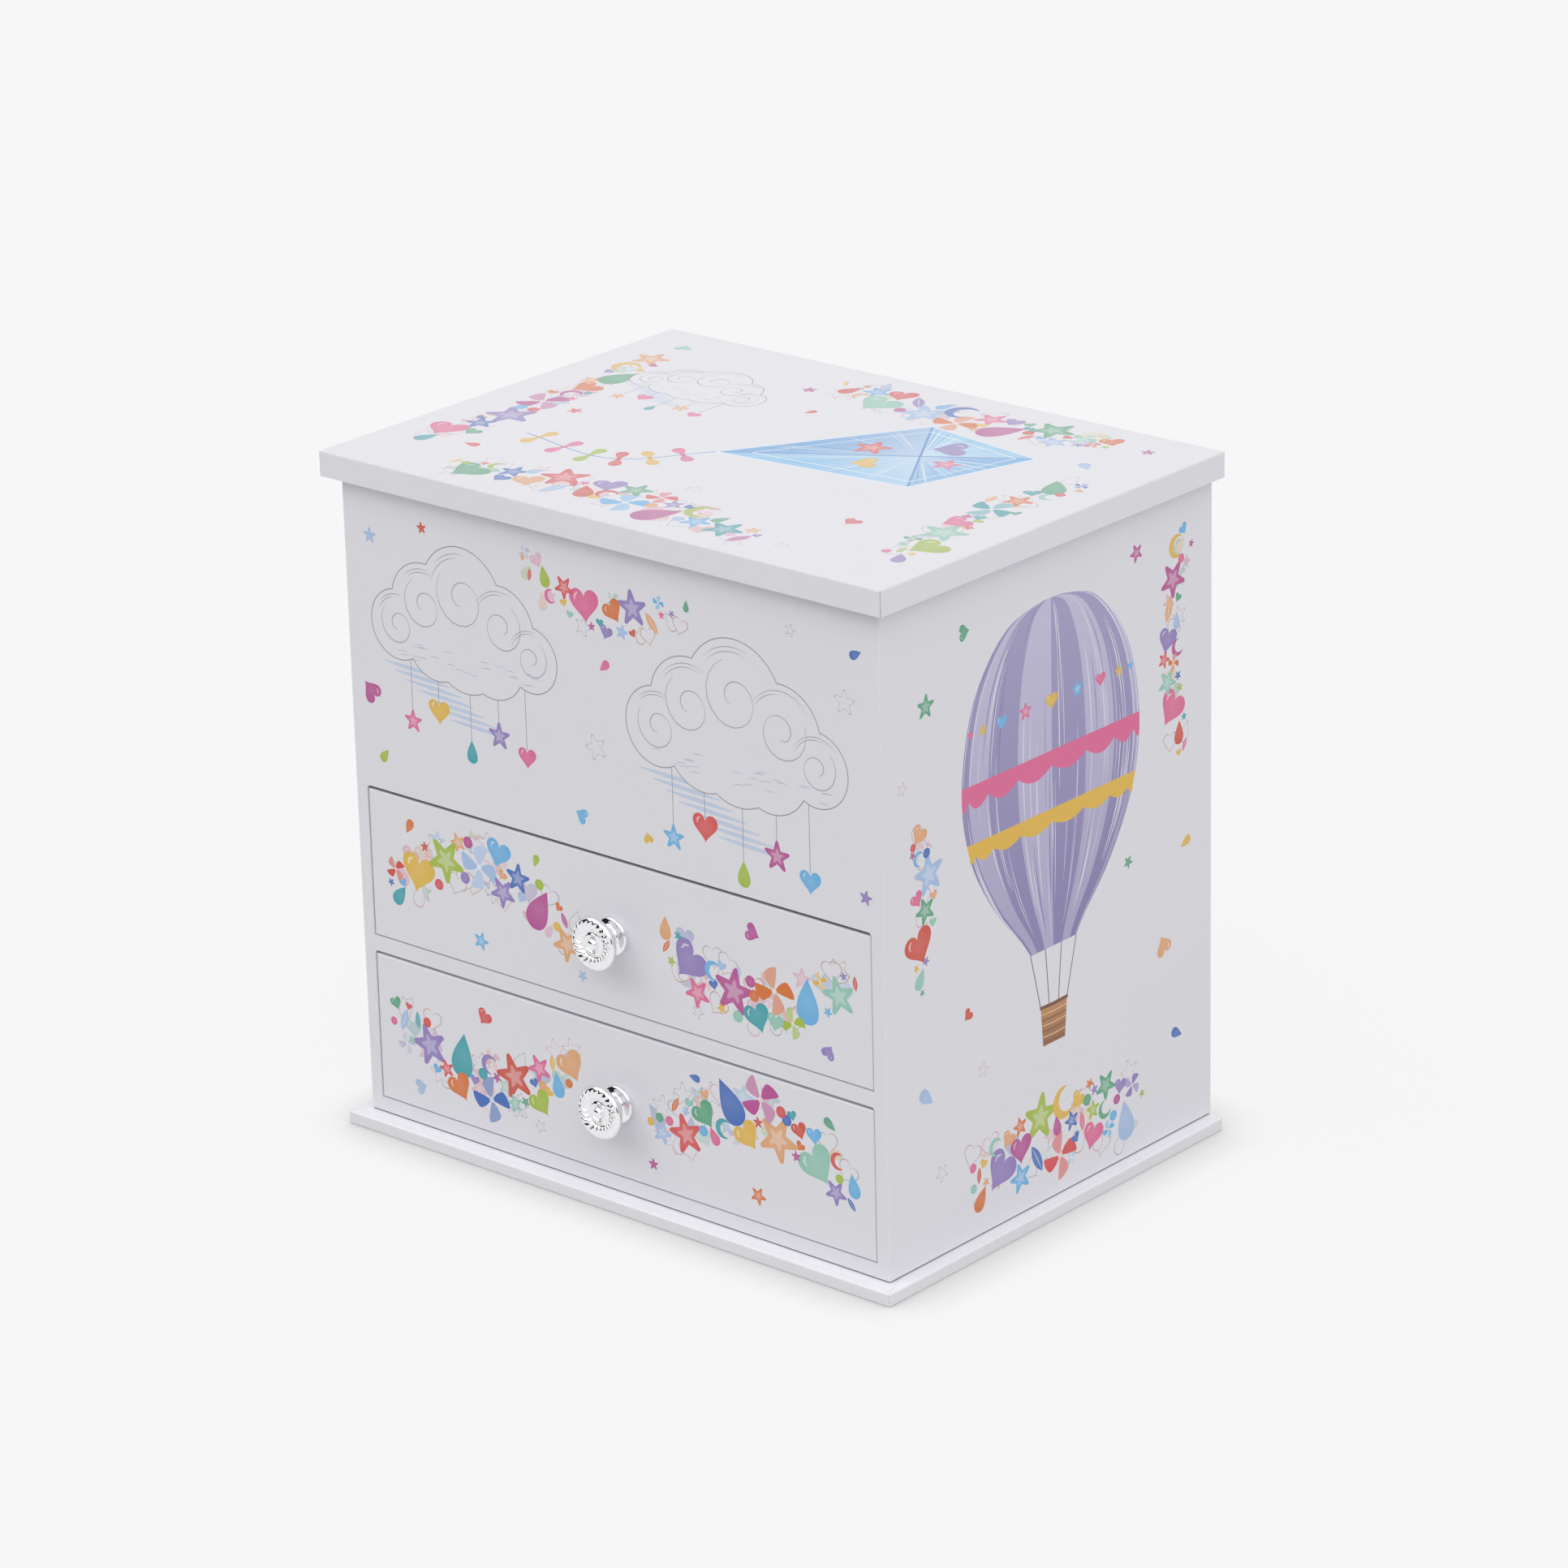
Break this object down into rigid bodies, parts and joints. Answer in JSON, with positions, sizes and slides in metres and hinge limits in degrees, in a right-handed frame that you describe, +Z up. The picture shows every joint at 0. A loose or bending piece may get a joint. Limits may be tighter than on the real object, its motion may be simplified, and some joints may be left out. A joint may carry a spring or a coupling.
{
  "type": "wind up music box",
  "caption": "Covered board music box with a hinged lid, fluted knob drawers, a lined upper compartment and a wind up movement with a turning dancer.",
  "frame": {"origin": "middle of the underside of the plinth, under the middle of the case", "axes": "+Z up, the drawers open towards -Y, the lid is hinged along +Y, +X to the right seen from the drawers"},
  "size_m": [0.2004, 0.1693, 0.2008],
  "materials": {
    "mdf": "fibre board, lined with pale lilac paper where it shows",
    "hinge_wood": "plain softwood strip",
    "plinth_paper": "fibre board covered with white satin paper",
    "printed_paper": "white satin paper with a colour print",
    "hinge_brass": "plated butt hinge",
    "screw_steel": "zinc plated",
    "velvet": "flocked velvet over card and foam",
    "mirror_glass": "bevelled mirror",
    "cast_frame": "cast and plated",
    "movement_brass": "cut brass",
    "movement_steel": "ground steel",
    "key_steel": "stamped and plated",
    "knob_chrome": "bright plated casting",
    "fan_plastic": "moulded",
    "dancer_plastic": "painted moulding",
    "net": "gathered net"
  },
  "bodies": {
    "case": {"plinth_board": "plinth_paper", "bottom_board": "mdf", "left_panel": "mdf", "right_panel": "mdf", "back_panel": "mdf", "front_panel": "mdf", "drawer_shelf": "mdf", "compartment_floor": "mdf", "case_wrap": "printed_paper", "hinge_batten": "hinge_wood", "hinge_case_leaves": "hinge_brass", "hinge_pins": "hinge_brass", "hinge_case_screws": "screw_steel", "cover_top": "velvet", "cover_front": "velvet", "spindle_bush": "movement_brass", "ring_cushion": "velvet", "movement_frame": "cast_frame", "movement_screws": "screw_steel", "spring_barrel": "movement_brass", "mainspring": "movement_steel", "comb": "movement_steel", "comb_screws": "screw_steel"},
    "lid": {"lid_board": "mdf", "lid_wrap": "printed_paper", "lid_lining": "velvet", "mirror": "mirror_glass", "hinge_lid_leaves": "hinge_brass", "hinge_lid_screws": "screw_steel"},
    "upper_drawer": {"upper_drawer_front": "mdf", "upper_drawer_wrap": "printed_paper", "upper_drawer_left": "mdf", "upper_drawer_right": "mdf", "upper_drawer_back": "mdf", "upper_drawer_bottom": "mdf", "upper_knob": "knob_chrome", "upper_knob_screw": "screw_steel"},
    "lower_drawer": {"lower_drawer_front": "mdf", "lower_drawer_wrap": "printed_paper", "lower_drawer_left": "mdf", "lower_drawer_right": "mdf", "lower_drawer_back": "mdf", "lower_drawer_bottom": "mdf", "lower_knob": "knob_chrome", "lower_knob_screw": "screw_steel"},
    "winding_set": {"winding_arbor": "movement_steel", "great_wheel": "movement_brass", "winding_key": "key_steel"},
    "cylinder_set": {"cylinder_arbor": "movement_steel", "cylinder": "movement_brass", "governor_wheel": "movement_brass", "crown_wheel": "movement_brass"},
    "layshaft_set": {"layshaft": "movement_brass"},
    "fan_set": {"governor_fan": "fan_plastic"},
    "dancer_set": {"dancer_spindle": "movement_steel", "dancer_figure": "dancer_plastic", "dancer_skirt": "net"},
    "stop_set": {"stop_rod": "movement_steel"}
  },
  "joints": [
    {"name": "lid_hinge", "type": "hinge", "parent": "case", "child": "lid", "pos_m": [0, 0.07295, 0.1936], "axis": [-1, 0, 0], "range_deg": [0, 100]},
    {"name": "upper_drawer_slide", "type": "slide", "parent": "case", "child": "upper_drawer", "axis": [0, -1, 0], "range_m": [0, 0.095]},
    {"name": "lower_drawer_slide", "type": "slide", "parent": "case", "child": "lower_drawer", "axis": [0, -1, 0], "range_m": [0, 0.095]},
    {"name": "cylinder_spin", "type": "hinge", "parent": "case", "child": "cylinder_set", "pos_m": [0, 0.0281, 0.1252], "axis": [0, 1, 0], "continuous": true},
    {"name": "winding_spin", "type": "hinge", "parent": "case", "child": "winding_set", "pos_m": [0.01875, 0.0281, 0.1252], "axis": [0, 1, 0], "continuous": true},
    {"name": "layshaft_spin", "type": "hinge", "parent": "case", "child": "layshaft_set", "pos_m": [-0.00525, 0.0281, 0.13429], "axis": [0, 1, 0], "continuous": true},
    {"name": "fan_spin", "type": "hinge", "parent": "case", "child": "fan_set", "pos_m": [-0.01275, 0.0281, 0.13429], "axis": [0, 1, 0], "continuous": true},
    {"name": "dancer_spin", "type": "hinge", "parent": "case", "child": "dancer_set", "pos_m": [0, 0.0281, 0.14579], "axis": [0, 0, 1], "continuous": true},
    {"name": "stop_rod_slide", "type": "slide", "parent": "case", "child": "stop_set", "axis": [0, 0, 1], "range_m": [0, 0.003]}
  ],
  "couplings": [
    {"joint": "winding_spin", "follows": "cylinder_spin", "ratio": -0.25},
    {"joint": "layshaft_spin", "follows": "cylinder_spin", "ratio": -6},
    {"joint": "fan_spin", "follows": "cylinder_spin", "ratio": 30},
    {"joint": "dancer_spin", "follows": "cylinder_spin", "ratio": -2},
    {"joint": "stop_rod_slide", "follows": "lid_hinge", "m_per_rad": 0.0017171}
  ]
}
